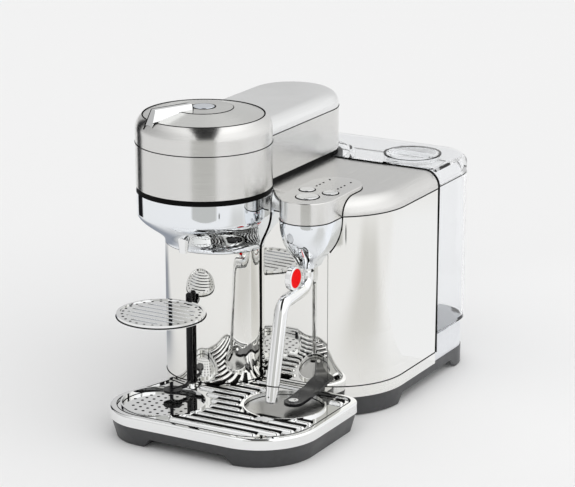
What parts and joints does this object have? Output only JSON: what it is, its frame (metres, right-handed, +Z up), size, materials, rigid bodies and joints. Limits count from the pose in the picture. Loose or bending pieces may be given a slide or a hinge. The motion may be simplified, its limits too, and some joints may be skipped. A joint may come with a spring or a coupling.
{
  "type": "pod coffee machine with milk steamer",
  "caption": "Countertop pod coffee machine with a hinged brew head on a polished column, drip tray with cup rest, steam wand beside a keyed panel, and a clear water tank at the back.",
  "frame": {"origin": "bottom centre of the bounding box, on the worktop", "axes": "+X to the machine's right, +Y from the tray at the front to the tank at the back, +Z up"},
  "size_m": [0.2313, 0.396, 0.3021],
  "materials": {
    "brushed": "satin brushed steel",
    "polished": "mirror polish",
    "black": "gloss black",
    "dark": "dark grey satin",
    "seal": "black rubber",
    "clear": "clear plastic",
    "red": "gloss red",
    "inner_metal": "cast",
    "inner_plastic": "moulded",
    "board": "circuit board",
    "lights": "lens"
  },
  "bodies": {
    "chassis": {"base_pan": "dark", "rubber_feet": "seal", "body_screws": "inner_metal", "base_trim": "polished", "column_shell": "polished", "front_panel": "polished", "body_shell": "polished", "left_panel": "polished", "top_plate": "brushed", "rear_panel": "black", "bowl_shell": "polished", "brew_liner": "inner_plastic", "motor_stator": "inner_metal", "shaft_bearings": "inner_metal", "coffee_spout": "polished", "head_gasket": "seal", "hinge_tower": "dark", "hinge_pin": "polished", "panel_cap": "brushed", "panel_lights": "lights", "control_board": "board", "steam_funnel": "polished", "sensor_arm": "black", "sensor_button": "polished", "tank_dock": "brushed", "water_inlet": "inner_plastic", "cord_gland": "seal", "water_pump": "inner_plastic", "thermoblock": "inner_metal", "steam_boiler": "inner_metal", "steam_pipe": "inner_metal", "water_pipes": "inner_plastic"},
    "lid": {"head_ring": "brushed", "head_frame": "black", "head_cap": "brushed", "arm_cover": "brushed", "injection_head": "inner_plastic"},
    "lock": {"lock_disc": "brushed", "lock_lever": "polished", "bayonet_ring": "inner_metal"},
    "brew_key": {"brew_button": "brushed"},
    "spinner": {"capsule_cage": "inner_metal", "drive_shaft": "inner_metal"},
    "wand": {"wand_tube": "polished", "wand_tip": "polished", "lift_tab": "polished", "tab_insert": "red"},
    "start_key": {"start_button": "brushed"},
    "froth_key": {"froth_button": "brushed"},
    "temperature_key": {"temperature_button": "brushed"},
    "tray": {"tray_skirt": "dark", "tray_rim": "polished", "tray_deck": "polished", "dish_grid": "polished", "jug_dish": "brushed"},
    "cup_support": {"cup_post": "black", "cup_disc": "polished"},
    "tank": {"water_tank": "clear", "tank_lid": "clear"},
    "cap": {"fill_cap": "clear"}
  },
  "joints": [
    {"name": "lid_open", "type": "hinge", "parent": "chassis", "child": "lid", "pos_m": [-0.05065, 0.151, 0.219], "axis": [-1, 0, 0], "range_deg": [0, 45]},
    {"name": "lever_turn", "type": "hinge", "parent": "lid", "child": "lock", "pos_m": [-0.05065, -0.062, 0.29], "axis": [0, 0, 1], "range_deg": [0, 60]},
    {"name": "brew_press", "type": "slide", "parent": "lock", "child": "brew_key", "axis": [0, 0, -1], "range_m": [0, 0.0015], "stiffness_N_per_m": 400, "springref_m": -0.002},
    {"name": "capsule_spin", "type": "hinge", "parent": "chassis", "child": "spinner", "pos_m": [-0.05065, -0.062, 0.17], "axis": [0, 0, 1], "continuous": true},
    {"name": "wand_lift", "type": "hinge", "parent": "chassis", "child": "wand", "pos_m": [0.05565, -0.0523, 0.158], "axis": [-1, 0, 0], "range_deg": [0, 20]},
    {"name": "start_press", "type": "slide", "parent": "chassis", "child": "start_key", "axis": [0, 0, -1], "range_m": [0, 0.0012], "stiffness_N_per_m": 400, "springref_m": -0.002},
    {"name": "froth_press", "type": "slide", "parent": "chassis", "child": "froth_key", "axis": [0, 0, -1], "range_m": [0, 0.0012], "stiffness_N_per_m": 400, "springref_m": -0.002},
    {"name": "temperature_press", "type": "slide", "parent": "chassis", "child": "temperature_key", "axis": [0, 0, -1], "range_m": [0, 0.0012], "stiffness_N_per_m": 400, "springref_m": -0.002},
    {"name": "tray_slide", "type": "slide", "parent": "chassis", "child": "tray", "axis": [0, -1, 0], "range_m": [0, 0.12]},
    {"name": "cup_swing", "type": "hinge", "parent": "tray", "child": "cup_support", "pos_m": [-0.05065, -0.0924, 0.07], "axis": [0, 0, 1], "range_deg": [-45, 45]},
    {"name": "tank_slide", "type": "slide", "parent": "chassis", "child": "tank", "axis": [0, 1, 0], "range_m": [0, 0.11]},
    {"name": "cap_lift", "type": "slide", "parent": "tank", "child": "cap", "axis": [0, 0, 1], "range_m": [0, 0.03]}
  ]
}
